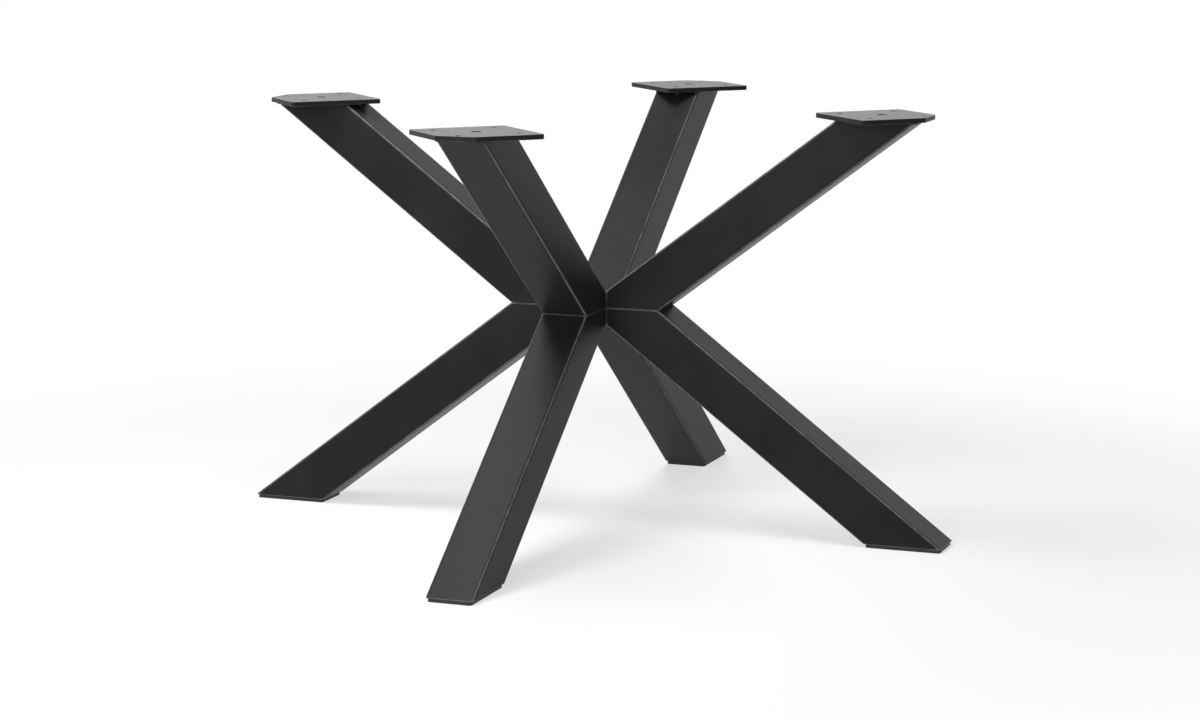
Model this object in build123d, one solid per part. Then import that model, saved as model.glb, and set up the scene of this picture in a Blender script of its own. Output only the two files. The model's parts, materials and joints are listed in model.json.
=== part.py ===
from build123d import *
import os
from math import cos, radians, sin, tan

# Four-legged crossing table base, in millimetres.
# The origin lies on the floor under the crossing, +Z is up, and X and Y run along the table's edges.
# Each leg is a lower and an upper square tube, mitred where they meet, so that it looks like a "<"
# that opens outwards. Eight tubes meet on the vertical axis.

# Overall
base_height = 710.0
crossing_height = 375.0
tube_slope = 37.0

# Square tube
tube_size = 80.0
tube_wall = 2.0
tube_inner_radius = 3.0

# Mounting plate
plate_side = 160.0
plate_thickness = 8.0
plate_corner_cut = 46.0
plate_corner_radius = 6.0
plate_edge_break = 0.8
plate_hole_inset = 30.0
plate_hole_diameter = 9.0
plate_centre_hole_diameter = 16.0

# Foot cap
foot_flange_thickness = 6.0
foot_inset = 3.0
foot_corner_radius = 6.0
foot_edge_break = 1.0
foot_plug_height = 22.0
foot_plug_wall = 3.0
foot_plug_clearance = 0.3

# The legs stand on the table's diagonals. The first is half this angle from +X, and the others follow
# it by the whole angle, in degrees.
leg_names = ("back_right", "back_left", "front_left", "front_right")
leg_pitch_angle = 90.0

# Worked out from the sizes above
first_leg_angle = leg_pitch_angle / 2
plate_hole_spacing = plate_side - 2 * plate_hole_inset
plate_underside = base_height - plate_thickness
tube_corner_radius = tube_inner_radius + tube_wall
tube_bore = tube_size - 2 * tube_wall
mitre_length = tube_size / sin(radians(tube_slope))
mitre_centre = mitre_length / 2
run_per_rise = 1 / tan(radians(tube_slope))
lower_rise = crossing_height - foot_flange_thickness
upper_rise = plate_underside - crossing_height
foot_radius = mitre_centre + lower_rise * run_per_rise
plate_radius = mitre_centre + upper_rise * run_per_rise


def square_bar(size, radius, rise, direction):
    """A rounded square bar that crosses the mitre and runs past the given rise, up (1) or down (-1)."""
    past_the_end = mitre_length
    length = rise / sin(radians(tube_slope)) + past_the_end
    across = Plane(
        origin=(mitre_centre, 0, crossing_height),
        x_dir=(0, 1, 0),
        z_dir=(cos(radians(tube_slope)), 0, direction * sin(radians(tube_slope))),
    )
    profile = across * RectangleRounded(size, size, radius)
    return extrude(profile, length) + extrude(profile, -past_the_end)


def leg_sector(bottom, top):
    """The room of one leg between two heights: a wedge between the planes that halve the corners
    with its neighbours, with its edge on the vertical axis."""
    reach = foot_radius + plate_radius
    half_width = reach * tan(radians(leg_pitch_angle / 2))
    outline = Polygon((0, 0), (reach, -half_width), (reach, half_width), align=None)
    return Pos(0, 0, bottom) * extrude(outline, top - bottom)


def mitred_tube(rise, direction):
    """One hollow tube, cut flat at its outer end, along the mitre and along both halving planes."""
    outer = square_bar(tube_size, tube_corner_radius, rise, direction)
    bore = square_bar(tube_bore, tube_inner_radius, rise, direction)
    far_end = crossing_height + direction * rise
    return (outer - bore) & leg_sector(min(crossing_height, far_end), max(crossing_height, far_end))


def lower_tube():
    return mitred_tube(lower_rise, -1)


def upper_tube():
    return mitred_tube(upper_rise, 1)


def mounting_plate():
    """A flat plate with its outer corner cut off, four bolt holes and a larger hole in the middle."""
    half = plate_side / 2
    outline = Polygon(
        (-half, -half),
        (half, -half),
        (half, half - plate_corner_cut),
        (half - plate_corner_cut, half),
        (-half, half),
        align=None,
    )
    outline = fillet(outline.vertices(), plate_corner_radius)
    plate = extrude(outline, plate_thickness)
    rims = plate.edges().group_by(Axis.Z)
    plate = chamfer(rims[0] + rims[-1], plate_edge_break)
    plate = plate - extrude(Circle(plate_centre_hole_diameter / 2), plate_thickness)
    for bolt_place in GridLocations(plate_hole_spacing, plate_hole_spacing, 2, 2):
        plate = plate - bolt_place * extrude(Circle(plate_hole_diameter / 2), plate_thickness)
    return Pos(plate_radius, 0, plate_underside) * Rot(0, 0, -first_leg_angle) * plate


def foot_cap():
    """A plastic cap: a flange under the end of the tube and a hollow plug that fills its bore."""
    flange = extrude(
        RectangleRounded(mitre_length - 2 * foot_inset, tube_size - 2 * foot_inset, foot_corner_radius),
        foot_flange_thickness,
    )
    flange = chamfer(flange.faces().sort_by(Axis.Z)[0].edges(), foot_edge_break)
    flange = Pos(foot_radius, 0, 0) * flange
    plug_size = tube_bore - 2 * foot_plug_clearance
    plug_radius = tube_inner_radius
    plug = square_bar(plug_size, plug_radius, lower_rise, -1)
    hollow = square_bar(plug_size - 2 * foot_plug_wall, plug_radius, lower_rise, -1)
    plug = (plug - hollow) & leg_sector(foot_flange_thickness, foot_flange_thickness + foot_plug_height)
    return flange + plug


os.makedirs("parts", exist_ok=True)
pieces = {
    "lower_tube": lower_tube(),
    "upper_tube": upper_tube(),
    "mounting_plate": mounting_plate(),
    "foot_cap": foot_cap(),
}
for piece_name, piece in pieces.items():
    for leg_number, leg_name in enumerate(leg_names):
        leg_angle = first_leg_angle + leg_number * leg_pitch_angle
        export_step(Rot(0, 0, leg_angle) * piece, f"parts/{piece_name}_{leg_name}.step")
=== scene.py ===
import json
from math import cos, pi, radians, sin, tan

import bmesh
import bpy
from mathutils import Matrix, Vector
from mathutils.geometry import tessellate_polygon

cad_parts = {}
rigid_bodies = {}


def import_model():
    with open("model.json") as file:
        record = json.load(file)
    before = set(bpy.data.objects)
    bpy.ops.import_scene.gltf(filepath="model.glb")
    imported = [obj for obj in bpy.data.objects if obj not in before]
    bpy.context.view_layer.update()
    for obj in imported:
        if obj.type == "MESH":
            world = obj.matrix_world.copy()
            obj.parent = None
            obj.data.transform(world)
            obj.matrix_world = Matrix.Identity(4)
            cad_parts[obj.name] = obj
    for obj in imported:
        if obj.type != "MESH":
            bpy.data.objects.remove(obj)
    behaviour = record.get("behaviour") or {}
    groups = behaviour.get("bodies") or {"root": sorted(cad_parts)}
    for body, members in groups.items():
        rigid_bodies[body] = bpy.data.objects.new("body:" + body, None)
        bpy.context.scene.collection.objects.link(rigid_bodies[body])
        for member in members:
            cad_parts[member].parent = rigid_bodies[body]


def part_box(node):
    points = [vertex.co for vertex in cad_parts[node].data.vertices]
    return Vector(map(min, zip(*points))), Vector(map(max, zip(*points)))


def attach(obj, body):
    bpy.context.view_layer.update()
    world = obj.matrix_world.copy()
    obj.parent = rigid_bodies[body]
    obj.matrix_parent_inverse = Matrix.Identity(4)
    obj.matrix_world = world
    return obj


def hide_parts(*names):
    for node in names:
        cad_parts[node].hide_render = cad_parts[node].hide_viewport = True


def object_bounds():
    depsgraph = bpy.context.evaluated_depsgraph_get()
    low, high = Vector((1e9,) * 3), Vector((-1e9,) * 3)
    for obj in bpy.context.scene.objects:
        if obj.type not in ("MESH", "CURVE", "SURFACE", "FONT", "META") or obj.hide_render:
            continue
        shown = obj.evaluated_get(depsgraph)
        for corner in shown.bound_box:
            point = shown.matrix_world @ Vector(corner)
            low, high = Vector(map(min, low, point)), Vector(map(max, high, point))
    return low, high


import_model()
CAD_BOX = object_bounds()

bl_info = {
    "name": "Table Base",
    "version": (1, 0, 0),
    "blender": (4, 5, 0),
    "location": "3D View > Sidebar > Table Base",
    "description": "Builds a black powder-coated table base with four crossing legs",
    "category": "Object",
}

# Azimuth of each leg, in degrees from +X
LEGS = {"back_right": 45.0, "back_left": 135.0, "front_left": 225.0, "front_right": 315.0}

# Boxes that the heights and the plate's side are taken from
PLATE_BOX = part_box("mounting_plate_back_right")
LOWER_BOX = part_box("lower_tube_back_right")
CAP_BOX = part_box("foot_cap_back_right")

# Largest step between the sides of a piece and those of the box it has to fill
BOX_MATCH = 0.001
# Points nearer to each other than this become one
MERGE_DISTANCE = 1e-7
# Faces that meet at more than this keep a sharp edge between them
SHARP_ANGLE = radians(28.0)
# A plate's face looks up if its normal's upward part is more than this; such faces get the lighter coat that
# paints light on the tops
LOOKS_UP = 0.9
# Turn from the direction of a leg to the sides of its plate
PLATE_TURN = radians(-45.0)

# Segments in a quarter turn, at the corners of the tubes, plates, flanges and plugs
TUBE_STEPS = 6
PLATE_STEPS = 6
FLANGE_STEPS = 8
PLUG_STEPS = 4
# Segments around a hole, around a weld bead and around the floor
HOLE_SEGMENTS = 40
BEAD_SEGMENTS = 10
FLOOR_SEGMENTS = 96
# Points of a weld bead along each of its ripples
RIPPLE_POINTS = 4.0

# Where a tube's skin has rings between its two ends, as shares of its length
SKIN_SHARES = (0.15, 0.3, 0.45, 0.6, 0.75, 0.88)
# Edge values, from 0 on a flat face to 1 on a fully worn edge with its painted highlight: where a corner's
# rounding ends, over the rim of a plate from its face to its side, and where a flange meets its tube
CORNER_END_EDGE = 0.4
PLATE_RIM_EDGES = (1.0, 1.0, 0.8, 0.3)
FLANGE_TOP_EDGE = 0.5
# Segments in the rounding of a flange's lower rim
FLANGE_RIM_STEPS = 4

WHITE = (1.0, 1.0, 1.0, 1.0)
SENSOR_WIDTH = 36.0


# Settings

class TubeSizes(bpy.types.PropertyGroup):
    side: bpy.props.FloatProperty(
        name="Side", description="Outer side of the square tube", default=0.080, unit="LENGTH")
    wall: bpy.props.FloatProperty(
        name="Wall", description="Wall thickness of the tube", default=0.002, unit="LENGTH")
    corner: bpy.props.FloatProperty(
        name="Corner radius", description="Outer corner radius of the tube", default=0.005, unit="LENGTH")
    slope: bpy.props.FloatProperty(
        name="Slope", description="Rise of every tube above the horizontal", default=radians(37.0),
        subtype="ANGLE")
    crossing: bpy.props.FloatProperty(
        name="Crossing height", description="Height of the mitre plane where the tubes meet",
        default=LOWER_BOX[1].z, unit="LENGTH")
    floor_end: bpy.props.FloatProperty(
        name="Lower end", description="Height of the lower tubes' cut ends",
        default=LOWER_BOX[0].z, unit="LENGTH")
    seam: bpy.props.FloatProperty(
        name="Seam break", description="Width of the broken edge on each side of a mitre seam",
        default=0.0011, unit="LENGTH")
    # In this band the light rubbed colour paints worn coat and a highlight line beside the edge
    rim: bpy.props.FloatProperty(
        name="Rim band", description="Width of the band beside an edge that its wear reaches",
        default=0.0035, unit="LENGTH")


class PlateSizes(bpy.types.PropertyGroup):
    side: bpy.props.FloatProperty(
        name="Side", description="Side of the square the plate is cut from",
        default=PLATE_BOX[1].x - PLATE_BOX[0].x, unit="LENGTH")
    underside: bpy.props.FloatProperty(
        name="Underside", description="Height of the plate's lower face",
        default=PLATE_BOX[0].z, unit="LENGTH")
    top: bpy.props.FloatProperty(
        name="Top", description="Height of the plate's upper face",
        default=PLATE_BOX[1].z, unit="LENGTH")
    corner_cut: bpy.props.FloatProperty(
        name="Corner cut", description="Length cut from both sides of the outer corner",
        default=0.046, unit="LENGTH")
    corner: bpy.props.FloatProperty(
        name="Corner radius", description="Radius of the plate's corners", default=0.006, unit="LENGTH")
    edge: bpy.props.FloatProperty(
        name="Edge break", description="Rounding of the plate's rims", default=0.0008, unit="LENGTH")
    # In this band the light rubbed colour paints worn coat and a highlight line beside the rim
    rim: bpy.props.FloatProperty(
        name="Rim band", description="Width of the band beside a rim that its wear reaches",
        default=0.0025, unit="LENGTH")
    hole_inset: bpy.props.FloatProperty(
        name="Hole inset", description="Distance of the bolt holes from the plate's sides",
        default=0.030, unit="LENGTH")
    hole: bpy.props.FloatProperty(
        name="Bolt hole", description="Diameter of the bolt holes", default=0.009, unit="LENGTH")
    centre_hole: bpy.props.FloatProperty(
        name="Centre hole", description="Diameter of the hole in the middle", default=0.016, unit="LENGTH")
    hole_break: bpy.props.FloatProperty(
        name="Hole break", description="Rounding of the holes' rims", default=0.0007, unit="LENGTH")
    hole_rim: bpy.props.FloatProperty(
        name="Hole band", description="Width of the band of faces around a hole", default=0.001,
        unit="LENGTH")


class CapSizes(bpy.types.PropertyGroup):
    flange: bpy.props.FloatProperty(
        name="Flange", description="Thickness of the flange under the tube",
        default=LOWER_BOX[0].z, unit="LENGTH")
    inset: bpy.props.FloatProperty(
        name="Inset", description="Step from the tube's outside to the flange", default=0.003, unit="LENGTH")
    corner: bpy.props.FloatProperty(
        name="Corner radius", description="Radius of the flange's corners", default=0.006, unit="LENGTH")
    edge: bpy.props.FloatProperty(
        name="Edge break", description="Rounding of the flange's lower rim", default=0.001, unit="LENGTH")
    rim: bpy.props.FloatProperty(
        name="Rim band", description="Width of the band of faces inside the flange's lower rim",
        default=0.004, unit="LENGTH")
    plug_top: bpy.props.FloatProperty(
        name="Plug top", description="Height of the top of the plug inside the tube",
        default=CAP_BOX[1].z, unit="LENGTH")
    plug_wall: bpy.props.FloatProperty(
        name="Plug wall", description="Wall thickness of the plug", default=0.003, unit="LENGTH")
    plug_rim: bpy.props.FloatProperty(
        name="Plug band", description="Width of the band of faces beside the plug's corners",
        default=0.002, unit="LENGTH")
    clearance: bpy.props.FloatProperty(
        name="Clearance", description="Gap between the plug and the bore", default=0.0003, unit="LENGTH")


class WeldSizes(bpy.types.PropertyGroup):
    bead: bpy.props.FloatProperty(
        name="Bead radius", description="Radius of the weld bead under the plates",
        default=0.0022, unit="LENGTH")
    drop: bpy.props.FloatProperty(
        name="Bead drop", description="Depth of the bead's middle below the plate, as a share of its radius",
        default=0.35, subtype="FACTOR")
    pitch: bpy.props.FloatProperty(
        name="Ripple pitch", description="Distance between the bead's ripples",
        default=0.0024, unit="LENGTH")
    clear: bpy.props.FloatProperty(
        name="Clear of holes", description="Half width left bare beside the bolt holes at a tube's ends",
        default=0.010, unit="LENGTH")
    depth: bpy.props.FloatProperty(
        name="Ripple depth", description="Share of the radius that the ripples take", default=0.10,
        subtype="FACTOR")
    seed: bpy.props.IntProperty(
        name="Seed", description="Seed of the bead's small irregularities", default=7)


class Finish(bpy.types.PropertyGroup):
    coat: bpy.props.FloatVectorProperty(
        name="Powder coat", description="Colour of the powder coat", subtype="COLOR", size=4,
        default=(0.0170, 0.0166, 0.0190, 1.0))
    # Light colour of the edges and seams: partly worn coat, partly a painted highlight line
    coat_rub_and_highlight: bpy.props.FloatVectorProperty(
        name="Rubbed coat", description="Colour of the coat along its worn edges", subtype="COLOR", size=4,
        default=(0.170, 0.170, 0.180, 1.0))
    coat_roughness: bpy.props.FloatProperty(
        name="Coat roughness", description="Roughness of the powder coat", default=0.36, subtype="FACTOR")
    coat_specular: bpy.props.FloatProperty(
        name="Coat specular", description="Strength of the powder coat's reflections", default=0.07,
        subtype="FACTOR")
    # Lighter colour of the plates' upper faces: painted light on the tops, as the coat is the same as
    # elsewhere
    plate_lit_coat: bpy.props.FloatVectorProperty(
        name="Plate coat", description="Colour of the coat on the plates' upper faces", subtype="COLOR",
        size=4, default=(0.032, 0.031, 0.040, 1.0))
    plate_specular: bpy.props.FloatProperty(
        name="Plate specular", description="Strength of the reflections on the plates' upper faces",
        default=0.50, subtype="FACTOR")
    grain: bpy.props.FloatProperty(
        name="Grain size", description="Size of the coat's orange peel", default=0.0016, unit="LENGTH")
    plastic: bpy.props.FloatVectorProperty(
        name="Cap plastic", description="Colour of the foot caps", subtype="COLOR", size=4,
        default=(0.008, 0.008, 0.0085, 1.0))
    plastic_roughness: bpy.props.FloatProperty(
        name="Cap roughness", description="Roughness of the foot caps", default=0.60, subtype="FACTOR")
    plastic_specular: bpy.props.FloatProperty(
        name="Cap specular", description="Strength of the foot caps' reflections", default=0.50,
        subtype="FACTOR")
    plastic_grain: bpy.props.FloatProperty(
        name="Cap grain", description="Size of the foot caps' grain", default=0.0007, unit="LENGTH")


class Studio(bpy.types.PropertyGroup):
    azimuth: bpy.props.FloatProperty(
        name="Azimuth", description="Direction the camera looks from, 0 looks along +Y",
        default=radians(-24.5), subtype="ANGLE")
    elevation: bpy.props.FloatProperty(
        name="Elevation", description="Height of the camera above the horizontal",
        default=radians(9.68), subtype="ANGLE")
    distance: bpy.props.FloatProperty(
        name="Distance", description="Distance of the camera from its aim", default=5.080, unit="LENGTH")
    aim_right: bpy.props.FloatProperty(
        name="Aim right", description="Shift of the aim to the right", default=0.0131, unit="LENGTH")
    aim_up: bpy.props.FloatProperty(
        name="Aim up", description="Shift of the aim upwards", default=-0.0759, unit="LENGTH")
    lens: bpy.props.FloatProperty(
        name="Lens", description="Focal length in mm on a 36 mm wide sensor", default=90.0)
    floor: bpy.props.FloatVectorProperty(
        name="Floor", description="Colour of the floor", subtype="COLOR", size=4,
        default=(0.93, 0.93, 0.935, 1.0))
    floor_glow: bpy.props.FloatProperty(
        name="Floor white", description="Share of plain white that the floor shows near the base",
        default=0.64, subtype="FACTOR")
    floor_near: bpy.props.FloatProperty(
        name="Fade start", description="Distance from the middle at which the floor starts to turn white",
        default=0.6, unit="LENGTH")
    floor_far: bpy.props.FloatProperty(
        name="Fade end", description="Distance from the middle at which the floor is plain white",
        default=1.9, unit="LENGTH")
    floor_radius: bpy.props.FloatProperty(
        name="Floor radius", description="Radius of the round floor", default=9.0, unit="LENGTH")
    world: bpy.props.FloatProperty(
        name="World", description="Strength of the light from all around", default=0.14)
    top_light: bpy.props.FloatProperty(
        name="Top light", description="Power of the softbox overhead, in watts", default=66.0)
    top_size: bpy.props.FloatProperty(
        name="Top size", description="Side of the softbox overhead", default=1.2, unit="LENGTH")
    top_place: bpy.props.FloatVectorProperty(
        name="Top place", description="Place of the softbox overhead, which faces down",
        default=(-0.75, 0.0, 2.6), subtype="TRANSLATION")
    side_light: bpy.props.FloatProperty(
        name="Side light", description="Power of the softbox at the left, in watts", default=36.0)
    side_size: bpy.props.FloatProperty(
        name="Side size", description="Side of the softbox at the left", default=1.6, unit="LENGTH")
    side_place: bpy.props.FloatVectorProperty(
        name="Side place", description="Place of the softbox at the left, which faces the base",
        default=(-2.2, -1.5, 1.3), subtype="TRANSLATION")


# Mesh tools

def leg_turn(leg):
    """Turn about the vertical axis from +X to a leg."""
    return Matrix.Rotation(radians(LEGS[leg]), 4, "Z")


def arc(centre, radius, start, steps):
    """Points of a quarter turn about a centre, with edge values that are highest in the middle."""
    points = []
    for step in range(steps + 1):
        share = step / steps
        angle = start + share * pi / 2
        edge = 1.0 - (1.0 - CORNER_END_EDGE) * abs(2 * share - 1)
        points.append((centre[0] + radius * cos(angle), centre[1] + radius * sin(angle), edge))
    return points


def bar_profile(half, radius, rim, steps, creases=(), apex=()):
    """Rounded square, counterclockwise from the middle of its lower side: (across, up, edge value).
    rim is the width of a band beside the corners. creases are heights on both upright sides that get
    a point, and apex are distances from the middle of the lower side that get one."""
    flat = half - radius
    near = flat - rim
    points = [(0.0, -half, 0.0)] + [(width, -half, 0.0) for width in apex] + [(near, -half, 0.0)]
    points += arc((flat, -flat), radius, -pi / 2, steps)
    points += [(half, -near, 0.0)] + [(half, height, 0.0) for height in creases] + [(half, near, 0.0)]
    points += arc((flat, flat), radius, 0.0, steps)
    points += [(near, half, 0.0), (-near, half, 0.0)]
    points += arc((-flat, flat), radius, pi / 2, steps)
    points += [(-half, near, 0.0)] + [(-half, height, 0.0) for height in reversed(creases)]
    points += [(-half, -near, 0.0)]
    points += arc((-flat, -flat), radius, pi, steps)
    points += [(-near, -half, 0.0)] + [(-width, -half, 0.0) for width in reversed(apex)]
    return points


def turned_corners(corners, radius, inset, steps):
    """A convex outline, counterclockwise, with rounded corners, and moved inwards by inset."""
    points = []
    count = len(corners)
    for k in range(count):
        corner = Vector(corners[k])
        before = (corner - Vector(corners[k - 1])).normalized()
        after = (Vector(corners[(k + 1) % count]) - corner).normalized()
        out_before = Vector((before.y, -before.x))
        out_after = Vector((after.y, -after.x))
        middle = corner - (out_before + out_after) * (radius / (1 + out_before.dot(out_after)))
        turn = out_before.angle_signed(out_after, 0.0)
        for step in range(steps + 1):
            away = out_before.copy()
            away.rotate(Matrix.Rotation(-turn * step / steps, 2))
            points.append(tuple(middle + away * (radius - inset)))
    return points


def rim_rounding(radius, steps):
    """Points over a rounded rim, from the face to the side: how far in from the side and from the face."""
    turns = [step / steps * pi / 2 for step in range(steps + 1)]
    return [(radius * (1 - sin(turn)), radius * (1 - cos(turn))) for turn in turns]


class Shell:
    """Collects points with their edge values, and faces between them, for one piece."""

    def __init__(self):
        self.points = []
        self.edges = []
        self.faces = []

    def ring(self, points, edge=None):
        """Adds a closed line of points. Their edge value is their fourth number, unless one is given."""
        first = len(self.points)
        for point in points:
            self.points.append(Vector(point[:3]))
            self.edges.append(point[3] if edge is None else edge)
        return list(range(first, first + len(points)))

    def skin(self, rings):
        """Adds the faces between each ring and the next."""
        for lower, upper in zip(rings, rings[1:]):
            count = len(lower)
            for k in range(count):
                n = (k + 1) % count
                self.faces.append((lower[k], lower[n], upper[n], upper[k]))

    def cover(self, outer, holes=(), flip=False):
        """Fills a flat outline, less its holes, with triangles that look up, or down if flipped."""
        loops = [outer, *holes]
        names = [k for loop in loops for k in loop]
        for face in tessellate_polygon([[self.points[k] for k in loop] for loop in loops]):
            corners = [names[k] for k in face]
            a, b, c = (self.points[k] for k in corners)
            up = (b - a).cross(c - a).z > 0
            if up == flip:
                corners.reverse()
            self.faces.append(tuple(corners))

    def piece(self, name, turn, material, slot, *nodes):
        """Makes the finished piece, turned to its place, and seats it on its nodes."""
        mesh = bpy.data.meshes.new(name)
        mesh.from_pydata([turn @ point for point in self.points], [], self.faces)
        attribute = mesh.attributes.new("edge", "FLOAT", "POINT")
        attribute.data.foreach_set("value", self.edges)
        clean = bmesh.new()
        clean.from_mesh(mesh)
        bmesh.ops.remove_doubles(clean, verts=clean.verts, dist=MERGE_DISTANCE)
        bmesh.ops.dissolve_degenerate(clean, edges=clean.edges, dist=MERGE_DISTANCE)
        bmesh.ops.recalc_face_normals(clean, faces=clean.faces)
        clean.to_mesh(mesh)
        clean.free()
        mesh.polygons.foreach_set("use_smooth", [True] * len(mesh.polygons))
        mesh.set_sharp_from_angle(angle=SHARP_ANGLE)
        mesh.materials.append(material)
        raw = bpy.data.objects.new(name, mesh)
        bpy.context.scene.collection.objects.link(raw)
        weights = raw.modifiers.new("Even shading", "WEIGHTED_NORMAL")
        weights.keep_sharp = True
        weights.weight = 100
        return seat(plain_copy(raw, name), slot, *nodes)


def plain_copy(source, name):
    """Turns an object with modifiers into a plain mesh object and removes the source."""
    bpy.context.view_layer.update()
    depsgraph = bpy.context.evaluated_depsgraph_get()
    mesh = bpy.data.meshes.new_from_object(
        source.evaluated_get(depsgraph), preserve_all_data_layers=True, depsgraph=depsgraph)
    old = source.data
    bpy.data.objects.remove(source)
    if old.users == 0:
        bpy.data.batch_remove([old])
    mesh.name = name
    piece = bpy.data.objects.new(name, mesh)
    bpy.context.scene.collection.objects.link(piece)
    return piece


def seat(piece, slot, *nodes):
    """Fixes a piece to the frame and checks that it fills the box of the nodes it stands for."""
    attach(piece, "root")
    if not nodes:
        return piece
    corners = [vertex.co for vertex in piece.data.vertices]
    for axis in range(3):
        low = min(corner[axis] for corner in corners)
        high = max(corner[axis] for corner in corners)
        want_low = min(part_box(node)[0][axis] for node in nodes)
        want_high = max(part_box(node)[1][axis] for node in nodes)
        if abs(low - want_low) > BOX_MATCH or abs(high - want_high) > BOX_MATCH:
            raise RuntimeError(f"{piece.name} doesn't fill its box on axis {axis}: "
                               f"{low:.4f} {high:.4f} for {want_low:.4f} {want_high:.4f}")
    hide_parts(*nodes)
    return piece


# Shapes of the tube, the plate and the foot cap

class Bar:
    """Straight bar of one leg, in the leg's own plane: +X outwards, Z up. It rises from the crossing
    if its direction is 1, and falls from it if -1."""

    def __init__(self, sizes, direction):
        self.slope = sizes.slope
        self.crossing = sizes.crossing
        self.direction = direction
        self.centre = sizes.side / sin(self.slope) / 2

    def point(self, across, up, along):
        """up is measured towards the upper side of a lower tube, and the underside of an upper one."""
        return (
            self.centre + up * sin(self.slope) + along * cos(self.slope),
            across,
            self.crossing + self.direction * (along * sin(self.slope) - up * cos(self.slope)),
        )

    def inner_end(self, across, up):
        """Where the bar stops at the mitre or at the plane halfway to the next leg."""
        mitre = up / tan(self.slope)
        wedge = (abs(across) - self.centre - up * sin(self.slope)) / cos(self.slope)
        return max(mitre, wedge)

    def level(self, up, height):
        """Where the line at this place in the profile reaches a height."""
        rise = self.direction * (height - self.crossing)
        return (rise + up * cos(self.slope)) / sin(self.slope)

    def reach(self, height):
        """Distance from the vertical axis to the middle of the bar's level cut at a height."""
        return self.centre + self.direction * (height - self.crossing) / tan(self.slope)


def mitred_tube(sizes, direction, end_height):
    """One hollow tube: outer skin, bore and both cut faces, with broken outer rims."""
    bar = Bar(sizes, direction)
    half = sizes.side / 2
    shell = Shell()

    def profile(inset):
        """The tube's profile moved inwards, with points where the mitre meets the halving planes."""
        crease = (half - inset - bar.centre) * sin(bar.slope)
        apex = max(inset, sizes.seam) / sin(bar.slope)
        return bar_profile(half - inset, sizes.corner - inset, sizes.rim, TUBE_STEPS, [crease], [apex])

    def ring(outline, along, edge=None):
        points = [(*bar.point(across, up, along(across, up)), value) for across, up, value in outline]
        return shell.ring(points, edge)

    def from_crossing(offset):
        return lambda across, up: bar.inner_end(across, up) + offset

    def from_end(offset):
        return lambda across, up: bar.level(up, end_height) - offset

    def between(share):
        return lambda across, up: (
            bar.inner_end(across, up) * (1 - share) + bar.level(up, end_height) * share)

    outer = profile(0.0)
    cut = profile(sizes.seam)
    bore = profile(sizes.wall)
    # At the crossing the cut face reaches the vertical axis, so that the eight tubes close around it
    closing = [(0.0, -half, 1.0), *cut[1:]]
    # The seam and cut-end rings get edge value 1, so the light rubbed colour paints worn coat and a
    # highlight line along the mitre seams and the cut ends
    rings = [
        ring(bore, from_end(0.0), 0.0),
        ring(bore, from_crossing(0.0), 0.0),
        ring(closing, from_crossing(0.0), 1.0),
        ring(outer, from_crossing(sizes.seam), 1.0),
        ring(outer, from_crossing(sizes.seam + sizes.rim)),
    ]
    rings += [ring(outer, between(share)) for share in SKIN_SHARES]
    rings += [
        ring(outer, from_end(sizes.seam + sizes.rim)),
        ring(outer, from_end(sizes.seam), 1.0),
        ring(cut, from_end(0.0), 1.0),
    ]
    shell.skin(rings + rings[:1])
    return shell


def drilled_plate(sizes):
    """The plate about the vertical axis, with its cut corner towards +X and +Y."""
    half = sizes.side / 2
    cut = half - sizes.corner_cut
    corners = [(-half, -half), (half, -half), (half, cut), (cut, half), (-half, half)]
    low, high = sizes.underside, sizes.top
    shell = Shell()

    def outline(inset, height, edge):
        points = turned_corners(corners, sizes.corner, inset, PLATE_STEPS)
        return shell.ring([(x, y, height) for x, y in points], edge)

    def circle(middle, radius, height):
        turns = [2 * pi * k / HOLE_SEGMENTS for k in range(HOLE_SEGMENTS)]
        points = [(middle[0] + radius * cos(turn), middle[1] + radius * sin(turn), height) for turn in turns]
        return shell.ring(points, 0.0)

    rounding = rim_rounding(sizes.edge, len(PLATE_RIM_EDGES) - 1)
    levels = [(inset, low + rise, edge) for (inset, rise), edge in zip(rounding, PLATE_RIM_EDGES)]
    levels += [(inset, high - (height - low), edge) for inset, height, edge in reversed(levels)]
    sides = [outline(*level) for level in levels]
    under = outline(sizes.edge + sizes.rim, low, 0.0)
    over = outline(sizes.edge + sizes.rim, high, 0.0)
    shell.skin([under, *sides, over])

    at = half - sizes.hole_inset
    holes = [((0.0, 0.0), sizes.centre_hole / 2)]
    holes += [((x, y), sizes.hole / 2) for x in (-at, at) for y in (-at, at)]
    under_holes = []
    over_holes = []
    for middle, radius in holes:
        mouth = radius + sizes.hole_break
        circles = [
            circle(middle, mouth + sizes.hole_rim, low),
            circle(middle, mouth, low),
            circle(middle, radius, low + sizes.hole_break),
            circle(middle, radius, high - sizes.hole_break),
            circle(middle, mouth, high),
            circle(middle, mouth + sizes.hole_rim, high),
        ]
        shell.skin(circles)
        under_holes.append(circles[0])
        over_holes.append(circles[-1])
    shell.cover(under, under_holes, flip=True)
    shell.cover(over, over_holes)
    return shell


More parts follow.
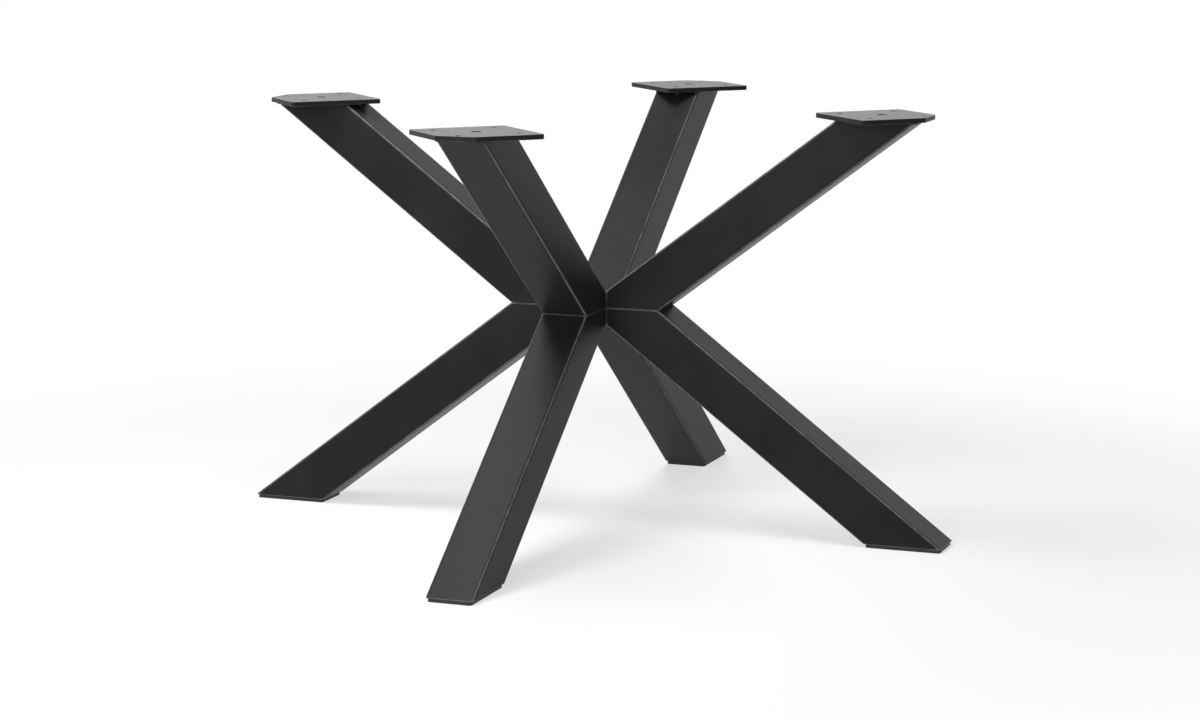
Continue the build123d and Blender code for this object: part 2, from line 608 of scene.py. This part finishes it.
def plugged_cap(sizes, tube):
    """The foot cap of a leg along +X: the flange under the tube and the plug in its bore."""
    bar = Bar(tube, -1)
    reach = bar.reach(sizes.flange)
    long_half = bar.centre - sizes.inset
    wide_half = tube.side / 2 - sizes.inset
    corners = [(-long_half, -wide_half), (long_half, -wide_half), (long_half, wide_half),
               (-long_half, wide_half)]
    shell = Shell()

    def outline(inset, height, edge):
        points = turned_corners(corners, sizes.corner, inset, FLANGE_STEPS)
        return shell.ring([(x + reach, y, height) for x, y in points], edge)

    def level_cut(profile, height):
        points = [bar.point(across, up, bar.level(up, height)) for across, up, edge in profile]
        return shell.ring(points, 0.0)

    flange = [outline(sizes.edge + sizes.rim, 0.0, 0.0)]
    flange += [outline(inset, rise, 1.0) for inset, rise in rim_rounding(sizes.edge, FLANGE_RIM_STEPS)]
    flange.append(outline(0.0, sizes.flange, FLANGE_TOP_EDGE))
    shell.skin(flange)
    shell.cover(flange[0], flip=True)
    shell.cover(flange[-1])

    plug_half = tube.side / 2 - tube.wall - sizes.clearance
    plug_radius = tube.corner - tube.wall
    outside = bar_profile(plug_half, plug_radius, sizes.plug_rim, PLUG_STEPS)
    hollow = bar_profile(plug_half - sizes.plug_wall, plug_radius, sizes.plug_rim, PLUG_STEPS)
    plug = [
        level_cut(outside, sizes.flange), level_cut(outside, sizes.plug_top),
        level_cut(hollow, sizes.plug_top), level_cut(hollow, sizes.flange),
    ]
    shell.skin(plug + plug[:1])
    return shell


# Node tools

def feed(tree, socket, value):
    """Links another node's output to an input, or sets the input's own value."""
    if isinstance(value, bpy.types.NodeSocket):
        tree.links.new(value, socket)
    else:
        socket.default_value = value


def add_node(tree, kind, inputs=(), **settings):
    """Adds a node with its settings, then feeds its inputs, given by name or by number."""
    node = tree.nodes.new(kind)
    for name, value in settings.items():
        setattr(node, name, value)
    for name, value in dict(inputs).items():
        feed(tree, node.inputs[name], value)
    return node


def calculate(tree, operation, *values, clamp=False):
    """What a Math node makes of numbers or of other nodes' outputs."""
    node = add_node(tree, "ShaderNodeMath", enumerate(values), operation=operation, use_clamp=clamp)
    return node.outputs[0]


def remap(tree, value, given, wanted, kind="LINEAR"):
    """A value taken from the given range to the wanted one."""
    ranges = {"From Min": given[0], "From Max": given[1], "To Min": wanted[0], "To Max": wanted[1]}
    node = add_node(tree, "ShaderNodeMapRange", {"Value": value, **ranges}, interpolation_type=kind)
    return node.outputs["Result"]


def blend(tree, kind, factor, first, second):
    """One colour blended with another."""
    inputs = {"Factor": factor, "A": first, "B": second}
    return add_node(tree, "ShaderNodeMix", inputs, data_type="RGBA", blend_type=kind).outputs["Result"]


def object_place(tree):
    """Place on the piece in its own coordinates."""
    return add_node(tree, "ShaderNodeTexCoord").outputs["Object"]


def shader_group(name, inputs, outputs):
    """A new group with named numbers in and out. Gives its tree, what comes in and what goes out."""
    tree = bpy.data.node_groups.new(name, "ShaderNodeTree")
    for label, default in inputs.items():
        socket = tree.interface.new_socket(name=label, in_out="INPUT", socket_type="NodeSocketFloat")
        socket.default_value = default
    for label in outputs:
        tree.interface.new_socket(name=label, in_out="OUTPUT", socket_type="NodeSocketFloat")
    return tree, add_node(tree, "NodeGroupInput").outputs, add_node(tree, "NodeGroupOutput").inputs


def new_material(name):
    """A material whose nodes are still to be made."""
    material = bpy.data.materials.new(name)
    material.use_nodes = True
    material.node_tree.nodes.clear()
    return material


def shows_white(tree):
    """1 for rays from the camera, mirrored or seen through, and 0 for rays that light the object."""
    path = add_node(tree, "ShaderNodeLightPath").outputs
    seen = calculate(tree, "ADD", path["Is Camera Ray"], path["Is Glossy Ray"], clamp=True)
    return calculate(tree, "ADD", seen, path["Is Transmission Ray"], clamp=True)


# Materials

def powder_grain():
    """Orange peel and slow tone changes of a powder coat."""
    name = "powder_grain"
    if name in bpy.data.node_groups:
        return bpy.data.node_groups[name]
    inputs = {"Grain": 0.0016, "Peel": 1.0, "Speckle": 1.0}
    tree, given, out = shader_group(name, inputs, ("Height", "Tone", "Roughness"))
    speckles_in_peel = 3.1
    speckle_share = 0.25
    rough_range = 0.10
    place = object_place(tree)
    scale = calculate(tree, "DIVIDE", 1.0, given["Grain"])
    fine_scale = calculate(tree, "MULTIPLY", scale, speckles_in_peel)
    peel = add_node(
        tree, "ShaderNodeTexNoise", {"Vector": place, "Scale": scale, "Detail": 2.0, "Roughness": 0.45})
    speckle = add_node(tree, "ShaderNodeTexVoronoi", {"Vector": place, "Scale": fine_scale}, feature="F1")
    cloud = add_node(tree, "ShaderNodeTexNoise", {"Vector": place, "Scale": 9.0, "Detail": 4.0})
    peel_height = calculate(tree, "MULTIPLY", peel.outputs["Fac"], given["Peel"])
    speckle_height = calculate(tree, "MULTIPLY", speckle.outputs["Distance"], given["Speckle"])
    height = calculate(tree, "MULTIPLY_ADD", speckle_height, speckle_share, peel_height)
    feed(tree, out["Height"], height)
    feed(tree, out["Tone"], remap(tree, cloud.outputs["Fac"], (0.3, 0.7), (0.82, 1.18)))
    rough = calculate(tree, "MULTIPLY_ADD", cloud.outputs["Fac"], rough_range, -rough_range / 2)
    feed(tree, out["Roughness"], rough)
    return tree


def edge_wear():
    """Mask of the rubbed edges, where the light colour paints worn coat and a highlight line: the piece's
    own edge value, broken up by noise.
    """
    name = "edge_wear"
    if name in bpy.data.node_groups:
        return bpy.data.node_groups[name]
    tree, given, out = shader_group(name, {"Reach": 0.5, "Patches": 60.0}, ("Mask",))
    edge = add_node(tree, "ShaderNodeAttribute", attribute_name="edge")
    band = remap(tree, edge.outputs["Fac"], (given["Reach"], 1.0), (0.0, 1.0), "SMOOTHSTEP")
    patches = add_node(
        tree, "ShaderNodeTexNoise", {"Vector": object_place(tree), "Scale": given["Patches"], "Detail": 3.0})
    spread = remap(tree, patches.outputs["Fac"], (0.35, 0.65), (0.55, 1.0))
    feed(tree, out["Mask"], calculate(tree, "MULTIPLY", band, spread))
    return tree


def grained_material(name, colour, roughness, specular, grain, peel, depth, rub_and_highlight=None):
    """A material with the grain in its tone, roughness and bump. peel and depth are the strength and the
    depth of the bump, and the last argument is the light colour of rubbed edges, painting worn coat and a
    highlight line, where it has them."""
    if name in bpy.data.materials:
        return bpy.data.materials[name]
    wear_and_highlight_reach = 0.60
    wear_polish = 0.10
    material = new_material(name)
    tree = material.node_tree
    grained = add_node(tree, "ShaderNodeGroup", node_tree=powder_grain())
    feed(tree, grained.inputs["Grain"], grain)
    shown = blend(tree, "MULTIPLY", 1.0, colour, grained.outputs["Tone"])
    rough = calculate(tree, "ADD", grained.outputs["Roughness"], roughness)
    if rub_and_highlight is not None:
        wear_and_highlight = add_node(tree, "ShaderNodeGroup", node_tree=edge_wear())
        feed(tree, wear_and_highlight.inputs["Reach"], wear_and_highlight_reach)
        # Edges and seams turn to the light rubbed colour: worn coat and a painted highlight line
        shown = blend(tree, "MIX", wear_and_highlight.outputs["Mask"], shown, rub_and_highlight)
        rough = calculate(tree, "MULTIPLY_ADD", wear_and_highlight.outputs["Mask"], -wear_polish, rough)
    bump = add_node(
        tree, "ShaderNodeBump", {"Height": grained.outputs["Height"], "Strength": peel, "Distance": depth})
    shader = add_node(tree, "ShaderNodeBsdfPrincipled", {
        "Base Color": shown,
        "Roughness": rough,
        "Normal": bump.outputs["Normal"],
        "Specular IOR Level": specular,
    })
    add_node(tree, "ShaderNodeOutputMaterial", {"Surface": shader.outputs["BSDF"]})
    return material


def rubbed_and_highlighted_coat(name, colour, specular, finish):
    """A satin coat with orange peel and rubbed edges, whose light colour paints worn coat and a highlight
    line.
    """
    return grained_material(
        name, colour, finish.coat_roughness, specular, finish.grain, peel=0.6, depth=0.0002,
        rub_and_highlight=finish.coat_rub_and_highlight)


def powder_coat(finish):
    """Satin black powder coat."""
    return rubbed_and_highlighted_coat("satin_powder_coat", finish.coat, finish.coat_specular, finish)


def plate_top_painted_lit_coat(finish):
    """The powder coat on the plates' upper faces: a lighter copy of the coat that paints the light falling
    on them, and which mirrors more of the light.
    """
    return rubbed_and_highlighted_coat("plate_top_painted_lit_coat", finish.plate_lit_coat, finish.plate_specular, finish)


def cap_plastic(finish):
    """Dull black moulded plastic."""
    return grained_material(
        "moulded_cap_plastic", finish.plastic, finish.plastic_roughness, finish.plastic_specular,
        finish.plastic_grain, peel=0.5, depth=0.0001)


def floor_material(studio):
    """Pale floor that keeps shadows near the base and fades to the white around it further out."""
    material = new_material("studio_floor")
    tree = material.node_tree
    matt = add_node(tree, "ShaderNodeBsdfDiffuse", {"Color": studio.floor})
    white = add_node(tree, "ShaderNodeEmission", {"Color": WHITE})
    far = add_node(tree, "ShaderNodeVectorMath", {0: object_place(tree)}, operation="LENGTH")
    fade = remap(
        tree, far.outputs["Value"], (studio.floor_near, studio.floor_far), (studio.floor_glow, 1.0),
        "SMOOTHERSTEP")
    share = calculate(tree, "MULTIPLY", fade, shows_white(tree))
    mix = add_node(
        tree, "ShaderNodeMixShader", {0: share, 1: matt.outputs["BSDF"], 2: white.outputs["Emission"]})
    add_node(tree, "ShaderNodeOutputMaterial", {"Surface": mix.outputs["Shader"]})
    return material


# Pieces

def build_tubes(scene, part, direction, end_height):
    """Builds the four tubes of one kind, each on its own node."""
    coat = powder_coat(scene.tablebase_finish)
    shell = mitred_tube(scene.tablebase_tube, direction, end_height)
    for leg in LEGS:
        shell.piece(f"visual_{part}_{leg}", leg_turn(leg), coat, "powder_coat", f"{part}_{leg}")


class TABLEBASE_OT_lower_tubes(bpy.types.Operator):
    """Builds the four lower tubes, from the crossing down to the foot caps"""
    bl_idname = "tablebase.lower_tubes"
    bl_label = "Lower Tubes"

    def execute(self, context):
        build_tubes(context.scene, "lower_tube", -1, context.scene.tablebase_tube.floor_end)
        return {"FINISHED"}


class TABLEBASE_OT_upper_tubes(bpy.types.Operator):
    """Builds the four upper tubes, from the crossing up to the mounting plates"""
    bl_idname = "tablebase.upper_tubes"
    bl_label = "Upper Tubes"

    def execute(self, context):
        build_tubes(context.scene, "upper_tube", 1, context.scene.tablebase_plate.underside)
        return {"FINISHED"}


class TABLEBASE_OT_mounting_plates(bpy.types.Operator):
    """Builds the four drilled mounting plates"""
    bl_idname = "tablebase.mounting_plates"
    bl_label = "Mounting Plates"

    def execute(self, context):
        scene = context.scene
        sizes = scene.tablebase_plate
        coat = powder_coat(scene.tablebase_finish)
        lit_top_coat = plate_top_painted_lit_coat(scene.tablebase_finish)
        shell = drilled_plate(sizes)
        reach = Bar(scene.tablebase_tube, 1).reach(sizes.underside)
        for leg in LEGS:
            turn = (leg_turn(leg) @ Matrix.Translation((reach, 0.0, 0.0))
                    @ Matrix.Rotation(PLATE_TURN, 4, "Z"))
            plate = shell.piece(f"visual_plate_{leg}", turn, coat, "powder_coat", f"mounting_plate_{leg}")
            # Faces that look up get the lighter coat, which paints the light falling on the plates' tops
            plate.data.materials.append(lit_top_coat)
            for face in plate.data.polygons:
                face.material_index = 1 if face.normal.z > LOOKS_UP else 0
        return {"FINISHED"}


class TABLEBASE_OT_foot_caps(bpy.types.Operator):
    """Builds the four foot caps: the flange under the tube and the plug in its bore"""
    bl_idname = "tablebase.foot_caps"
    bl_label = "Foot Caps"

    def execute(self, context):
        scene = context.scene
        plastic = cap_plastic(scene.tablebase_finish)
        shell = plugged_cap(scene.tablebase_cap, scene.tablebase_tube)
        for leg in LEGS:
            shell.piece(f"visual_foot_cap_{leg}", leg_turn(leg), plastic, "foot_plastic", f"foot_cap_{leg}")
        return {"FINISHED"}


def weld_paths(scene):
    """Edges around both sides of each upper tube's top end, left open beside the bolt holes."""
    tube = scene.tablebase_tube
    weld = scene.tablebase_weld
    bar = Bar(tube, 1)
    height = scene.tablebase_plate.underside - weld.bead * weld.drop
    half = tube.side / 2
    profile = bar_profile(half, tube.corner, tube.rim, TUBE_STEPS)
    one_side = [(across, up) for across, up, edge in profile if across > weld.clear]
    one_side = [(weld.clear, -half), *one_side, (weld.clear, half)]
    points = []
    edges = []
    for leg in LEGS:
        turn = leg_turn(leg)
        for side in (1, -1):
            first = len(points)
            points += [turn @ Vector(bar.point(side * across, up, bar.level(up, height)))
                       for across, up in one_side]
            edges += [(k, k + 1) for k in range(first, len(points) - 1)]
    mesh = bpy.data.meshes.new("plate_weld_paths")
    mesh.from_pydata(points, edges, [])
    paths = bpy.data.objects.new("plate_weld_paths", mesh)
    scene.collection.objects.link(paths)
    return paths


def bead_tree():
    """Geometry nodes that sweep a rippled bead along each path of a mesh of edges."""
    tree = bpy.data.node_groups.new("weld_bead", "GeometryNodeTree")
    tree.is_modifier = True
    for label, way, kind in (
            ("Paths", "INPUT", "Geometry"), ("Bead Radius", "INPUT", "Float"),
            ("Ripple Pitch", "INPUT", "Float"), ("Ripple Depth", "INPUT", "Float"),
            ("Seed", "INPUT", "Int"), ("Coat", "INPUT", "Material"), ("Beads", "OUTPUT", "Geometry")):
        tree.interface.new_socket(name=label, in_out=way, socket_type=f"NodeSocket{kind}")
    given = add_node(tree, "NodeGroupInput").outputs
    curve = add_node(tree, "GeometryNodeMeshToCurve", {"Mesh": given["Paths"]})
    step = calculate(tree, "DIVIDE", given["Ripple Pitch"], RIPPLE_POINTS)
    path = add_node(
        tree, "GeometryNodeResampleCurve", {"Curve": curve.outputs["Curve"], "Length": step}, mode="LENGTH")
    along = add_node(tree, "GeometryNodeSplineParameter").outputs["Length"]
    ripples = calculate(tree, "DIVIDE", along, given["Ripple Pitch"])
    wave = calculate(tree, "SINE", calculate(tree, "MULTIPLY", ripples, 2 * pi))
    chance = add_node(
        tree, "FunctionNodeRandomValue", {2: -0.5, 3: 0.5, "Seed": given["Seed"]}, data_type="FLOAT")
    uneven = calculate(tree, "ADD", wave, chance.outputs[1])
    share = calculate(tree, "MULTIPLY_ADD", uneven, given["Ripple Depth"], 1.0)
    radius = calculate(tree, "MULTIPLY", share, given["Bead Radius"])
    circle = add_node(
        tree, "GeometryNodeCurvePrimitiveCircle", {"Resolution": BEAD_SEGMENTS, "Radius": 1.0})
    sweep = add_node(tree, "GeometryNodeCurveToMesh", {
        "Curve": path.outputs["Curve"],
        "Profile Curve": circle.outputs["Curve"],
        "Scale": radius,
        "Fill Caps": True,
    })
    smooth = add_node(tree, "GeometryNodeSetShadeSmooth", {"Geometry": sweep.outputs["Mesh"]})
    realize = add_node(tree, "GeometryNodeRealizeInstances", {"Geometry": smooth.outputs["Geometry"]})
    paint = add_node(
        tree, "GeometryNodeSetMaterial",
        {"Geometry": realize.outputs["Geometry"], "Material": given["Coat"]})
    add_node(tree, "NodeGroupOutput", {"Beads": paint.outputs["Geometry"]})
    return tree


class TABLEBASE_OT_plate_welds(bpy.types.Operator):
    """Builds the weld beads that join the upper tubes to their plates"""
    bl_idname = "tablebase.plate_welds"
    bl_label = "Plate Welds"

    def execute(self, context):
        scene = context.scene
        weld = scene.tablebase_weld
        paths = weld_paths(scene)
        tree = bead_tree()
        sweep = paths.modifiers.new("Weld bead", "NODES")
        sweep.node_group = tree
        values = {"Bead Radius": weld.bead, "Ripple Pitch": weld.pitch, "Ripple Depth": weld.depth,
                  "Seed": weld.seed, "Coat": powder_coat(scene.tablebase_finish)}
        for item in tree.interface.items_tree:
            if item.name in values and item.in_out == "INPUT":
                sweep[item.identifier] = values[item.name]
        beads = plain_copy(paths, "visual_plate_welds")
        if not beads.data.polygons:
            raise RuntimeError("The weld beads came out empty")
        seat(beads, "powder_coat")
        return {"FINISHED"}


# Stage

def round_floor(studio):
    """The floor as one round face."""
    turns = [2 * pi * k / FLOOR_SEGMENTS for k in range(FLOOR_SEGMENTS)]
    rim = [(studio.floor_radius * cos(turn), studio.floor_radius * sin(turn), 0.0) for turn in turns]
    mesh = bpy.data.meshes.new("studio_floor")
    mesh.from_pydata(rim, [], [tuple(range(FLOOR_SEGMENTS))])
    mesh.materials.append(floor_material(studio))
    return bpy.data.objects.new("studio_floor", mesh)


def studio_world(studio):
    """White all around to the eye, and soft light of a lower strength on the object."""
    world = bpy.data.worlds.new("studio_world")
    world.use_nodes = True
    tree = world.node_tree
    tree.nodes.clear()
    soft = add_node(tree, "ShaderNodeBackground", {"Color": WHITE, "Strength": studio.world})
    white = add_node(tree, "ShaderNodeBackground", {"Color": WHITE, "Strength": 1.0})
    mix = add_node(tree, "ShaderNodeMixShader", {
        0: shows_white(tree), 1: soft.outputs["Background"], 2: white.outputs["Background"]})
    add_node(tree, "ShaderNodeOutputWorld", {"Surface": mix.outputs["Shader"]})
    return world


def softbox(name, power, size, place, facing):
    """A square softbox that shines along a direction and that the camera doesn't see."""
    lamp = bpy.data.lights.new(name, "AREA")
    lamp.shape = "SQUARE"
    lamp.size = size
    lamp.energy = power
    box = bpy.data.objects.new(name, lamp)
    box.location = place
    box.rotation_euler = facing.to_track_quat("-Z", "Y").to_euler()
    box.visible_camera = False
    return box


def studio_camera(studio, middle):
    """The camera at the photo's viewing angle."""
    azimuth, elevation = studio.azimuth, studio.elevation
    back = Vector((sin(azimuth) * cos(elevation), -cos(azimuth) * cos(elevation), sin(elevation)))
    right = Vector((cos(azimuth), sin(azimuth), 0.0))
    up = back.cross(right)
    aim = middle + right * studio.aim_right + up * studio.aim_up
    camera_data = bpy.data.cameras.new("studio_camera")
    camera_data.sensor_width = SENSOR_WIDTH
    camera_data.lens = studio.lens
    camera = bpy.data.objects.new("studio_camera", camera_data)
    camera.matrix_world = (Matrix.Translation(aim + back * studio.distance)
                           @ Matrix((right, up, back)).transposed().to_4x4())
    return camera


class TABLEBASE_OT_stage(bpy.types.Operator):
    """Builds the floor, the lights, the world and the camera"""
    bl_idname = "tablebase.stage"
    bl_label = "Stage"

    def execute(self, context):
        scene = context.scene
        studio = scene.tablebase_studio
        floor = round_floor(studio)
        scene.collection.objects.link(floor)
        scene.world = studio_world(studio)

        middle = Vector((0.0, 0.0, CAD_BOX[1].z / 2))
        down = Vector((0.0, 0.0, -1.0))
        from_side = middle - Vector(studio.side_place)
        for box in (
                softbox("top_softbox", studio.top_light, studio.top_size, studio.top_place, down),
                softbox("side_softbox", studio.side_light, studio.side_size, studio.side_place, from_side)):
            scene.collection.objects.link(box)

        camera = studio_camera(studio, middle)
        scene.collection.objects.link(camera)
        scene.camera = camera
        scene.view_settings.view_transform = "Standard"
        return {"FINISHED"}


class TABLEBASE_PT_panel(bpy.types.Panel):
    """Lists the pieces of the table base"""
    bl_idname = "TABLEBASE_PT_panel"
    bl_label = "Table Base"
    bl_space_type = "VIEW_3D"
    bl_region_type = "UI"
    bl_category = "Table Base"

    def draw(self, context):
        layout = self.layout
        for group in GROUPS:
            box = layout.box()
            settings = getattr(context.scene, group)
            for name in settings.__annotations__:
                box.prop(settings, name)
        for operator in OPERATORS:
            layout.operator(operator.bl_idname)


OPERATORS = (
    TABLEBASE_OT_lower_tubes,
    TABLEBASE_OT_upper_tubes,
    TABLEBASE_OT_mounting_plates,
    TABLEBASE_OT_foot_caps,
    TABLEBASE_OT_plate_welds,
    TABLEBASE_OT_stage,
)
GROUPS = {
    "tablebase_tube": TubeSizes,
    "tablebase_plate": PlateSizes,
    "tablebase_cap": CapSizes,
    "tablebase_weld": WeldSizes,
    "tablebase_finish": Finish,
    "tablebase_studio": Studio,
}


def register():
    for group in GROUPS.values():
        bpy.utils.register_class(group)
    for name, group in GROUPS.items():
        setattr(bpy.types.Scene, name, bpy.props.PointerProperty(type=group))
    for operator in OPERATORS:
        bpy.utils.register_class(operator)
    bpy.utils.register_class(TABLEBASE_PT_panel)


def unregister():
    bpy.utils.unregister_class(TABLEBASE_PT_panel)
    for operator in reversed(OPERATORS):
        bpy.utils.unregister_class(operator)
    for name, group in GROUPS.items():
        delattr(bpy.types.Scene, name)
        bpy.utils.unregister_class(group)


def main():
    register()
    bpy.ops.tablebase.lower_tubes()
    bpy.ops.tablebase.upper_tubes()
    bpy.ops.tablebase.mounting_plates()
    bpy.ops.tablebase.foot_caps()
    bpy.ops.tablebase.plate_welds()
    bpy.ops.tablebase.stage()


if __name__ == "__main__":
    main()
